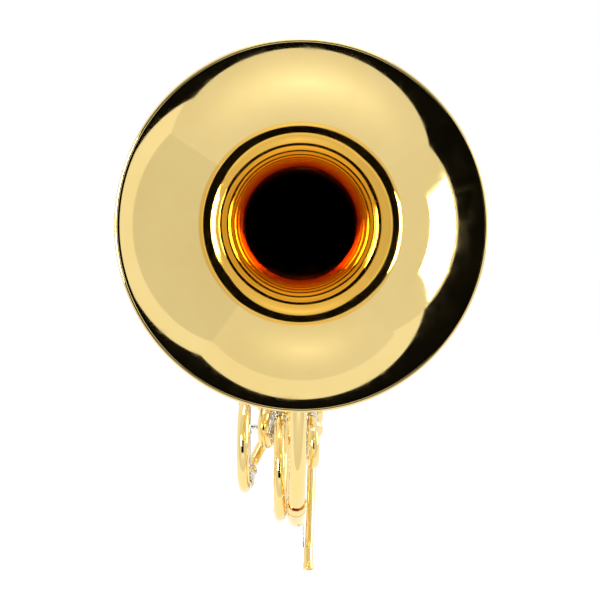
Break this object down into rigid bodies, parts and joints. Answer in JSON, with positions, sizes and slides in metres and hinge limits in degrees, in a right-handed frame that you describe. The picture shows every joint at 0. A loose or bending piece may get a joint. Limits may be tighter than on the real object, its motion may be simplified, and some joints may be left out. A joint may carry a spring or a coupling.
{
  "type": "double french horn",
  "caption": "Double horn with a wide flared bell, coiled tubing, rotary valves with string action, finger and thumb levers, and pull-out tuning and valve slides.",
  "frame": {"origin": "centre of the bell's rim, where a stand's peg or the player's hand enters the bell", "axes": "+Y into the bell along its axis, +Z away from the mouthpiece end, +X to the valve caps' side"},
  "size_m": [0.31, 0.5071, 0.5465],
  "materials": {
    "lacquered_brass": "gloss lacquer",
    "nickel_silver": "polished",
    "steel": "satin",
    "cord": "braided cord"
  },
  "bodies": {
    "horn_body": {"bell": "lacquered_brass", "tail_ferrule": "lacquered_brass", "first_branch": "lacquered_brass", "leadpipe": "lacquered_brass", "mouthpiece_receiver": "lacquered_brass", "leadpipe_guard": "nickel_silver", "f_outlet_crook": "lacquered_brass", "b_flat_outlet_tube": "lacquered_brass", "hinge_rod": "steel", "finger_hook": "lacquered_brass", "main_tuning_sleeves": "nickel_silver", "f_tuning_sleeves": "nickel_silver", "b_flat_tuning_sleeves": "nickel_silver", "f_1_sleeves": "nickel_silver", "f_2_sleeves": "nickel_silver", "f_3_sleeves": "nickel_silver", "b_flat_1_sleeves": "nickel_silver", "b_flat_2_sleeves": "nickel_silver", "b_flat_3_sleeves": "nickel_silver", "valve_1_casing": "nickel_silver", "valve_1_cap": "lacquered_brass", "valve_1_bearing_plate": "nickel_silver", "valve_1_spring": "steel", "valve_2_casing": "nickel_silver", "valve_2_cap": "lacquered_brass", "valve_2_bearing_plate": "nickel_silver", "valve_2_spring": "steel", "valve_3_casing": "nickel_silver", "valve_3_cap": "lacquered_brass", "valve_3_bearing_plate": "nickel_silver", "valve_3_spring": "steel", "change_valve_casing": "nickel_silver", "change_valve_cap": "lacquered_brass", "change_valve_bearing_plate": "nickel_silver", "change_valve_spring": "steel"},
    "main_tuning_slide": {"main_tuning_slide": "lacquered_brass"},
    "f_tuning_slide": {"f_tuning_slide": "lacquered_brass"},
    "b_flat_tuning_slide": {"b_flat_tuning_slide": "lacquered_brass"},
    "f_1_slide": {"f_1_slide": "lacquered_brass"},
    "f_2_slide": {"f_2_slide": "lacquered_brass"},
    "f_3_slide": {"f_3_slide": "lacquered_brass"},
    "b_flat_1_slide": {"b_flat_1_slide": "lacquered_brass"},
    "b_flat_2_slide": {"b_flat_2_slide": "lacquered_brass"},
    "b_flat_3_slide": {"b_flat_3_slide": "lacquered_brass"},
    "valve_1_rotor": {"valve_1_rotor": "lacquered_brass", "valve_1_stop_arm": "nickel_silver"},
    "finger_lever_1": {"finger_lever_1": "lacquered_brass", "valve_1_string": "cord"},
    "valve_2_rotor": {"valve_2_rotor": "lacquered_brass", "valve_2_stop_arm": "nickel_silver"},
    "finger_lever_2": {"finger_lever_2": "lacquered_brass", "valve_2_string": "cord"},
    "valve_3_rotor": {"valve_3_rotor": "lacquered_brass", "valve_3_stop_arm": "nickel_silver"},
    "finger_lever_3": {"finger_lever_3": "lacquered_brass", "valve_3_string": "cord"},
    "change_valve_rotor": {"change_valve_rotor": "lacquered_brass", "change_valve_stop_arm": "nickel_silver"},
    "thumb_lever": {"thumb_lever": "lacquered_brass", "change_valve_string": "cord"}
  },
  "joints": [
    {"name": "main_tuning_slide_pull", "type": "slide", "parent": "horn_body", "child": "main_tuning_slide", "axis": [0, -1, 0], "range_m": [0, 0.045]},
    {"name": "f_tuning_slide_pull", "type": "slide", "parent": "horn_body", "child": "f_tuning_slide", "axis": [-0.0262, -0.9997, 0], "range_m": [0, 0.04]},
    {"name": "b_flat_tuning_slide_pull", "type": "slide", "parent": "horn_body", "child": "b_flat_tuning_slide", "axis": [0, -1, 0], "range_m": [0, 0.03]},
    {"name": "f_1_slide_pull", "type": "slide", "parent": "horn_body", "child": "f_1_slide", "axis": [0.0514, -0.9803, -0.1908], "range_m": [0, 0.045]},
    {"name": "f_2_slide_pull", "type": "slide", "parent": "horn_body", "child": "f_2_slide", "axis": [0.0523, -0.9986, 0], "range_m": [0, 0.015]},
    {"name": "f_3_slide_pull", "type": "slide", "parent": "horn_body", "child": "f_3_slide", "axis": [0.0523, -0.9986, 0], "range_m": [0, 0.06]},
    {"name": "b_flat_1_slide_pull", "type": "slide", "parent": "horn_body", "child": "b_flat_1_slide", "axis": [-0.1715, -0.9727, -0.1564], "range_m": [0, 0.018]},
    {"name": "b_flat_2_slide_pull", "type": "slide", "parent": "horn_body", "child": "b_flat_2_slide", "axis": [-0.0872, -0.9962, 0], "range_m": [0, 0.01]},
    {"name": "b_flat_3_slide_pull", "type": "slide", "parent": "horn_body", "child": "b_flat_3_slide", "axis": [-0.0872, -0.9962, 0], "range_m": [0, 0.03]},
    {"name": "valve_1_rotor_turn", "type": "hinge", "parent": "horn_body", "child": "valve_1_rotor", "pos_m": [0, 0.38, -0.212], "axis": [1, 0, 0], "range_deg": [0, 90]},
    {"name": "finger_lever_1_press", "type": "hinge", "parent": "horn_body", "child": "finger_lever_1", "pos_m": [-0.0651, 0.38, -0.212], "axis": [0, 0, -1], "range_deg": [0, 12], "stiffness_Nm_per_rad": 0.35, "springref_deg": -14.32},
    {"name": "valve_2_rotor_turn", "type": "hinge", "parent": "horn_body", "child": "valve_2_rotor", "pos_m": [0, 0.38, -0.165], "axis": [1, 0, 0], "range_deg": [0, 90]},
    {"name": "finger_lever_2_press", "type": "hinge", "parent": "horn_body", "child": "finger_lever_2", "pos_m": [-0.0651, 0.38, -0.165], "axis": [0, 0, -1], "range_deg": [0, 12], "stiffness_Nm_per_rad": 0.35, "springref_deg": -14.32},
    {"name": "valve_3_rotor_turn", "type": "hinge", "parent": "horn_body", "child": "valve_3_rotor", "pos_m": [0, 0.38, -0.118], "axis": [1, 0, 0], "range_deg": [0, 90]},
    {"name": "finger_lever_3_press", "type": "hinge", "parent": "horn_body", "child": "finger_lever_3", "pos_m": [-0.0651, 0.38, -0.118], "axis": [0, 0, -1], "range_deg": [0, 12], "stiffness_Nm_per_rad": 0.35, "springref_deg": -14.32},
    {"name": "change_valve_rotor_turn", "type": "hinge", "parent": "horn_body", "child": "change_valve_rotor", "pos_m": [0, 0.38, -0.071], "axis": [1, 0, 0], "range_deg": [0, 90]},
    {"name": "thumb_lever_press", "type": "hinge", "parent": "horn_body", "child": "thumb_lever", "pos_m": [-0.0651, 0.38, -0.071], "axis": [0, 0, -1], "range_deg": [0, 12], "stiffness_Nm_per_rad": 0.35, "springref_deg": -14.32}
  ],
  "couplings": [
    {"joint": "finger_lever_1_press", "follows": "valve_1_rotor_turn", "ratio": 0.13333},
    {"joint": "finger_lever_2_press", "follows": "valve_2_rotor_turn", "ratio": 0.13333},
    {"joint": "finger_lever_3_press", "follows": "valve_3_rotor_turn", "ratio": 0.13333},
    {"joint": "thumb_lever_press", "follows": "change_valve_rotor_turn", "ratio": 0.13333}
  ]
}
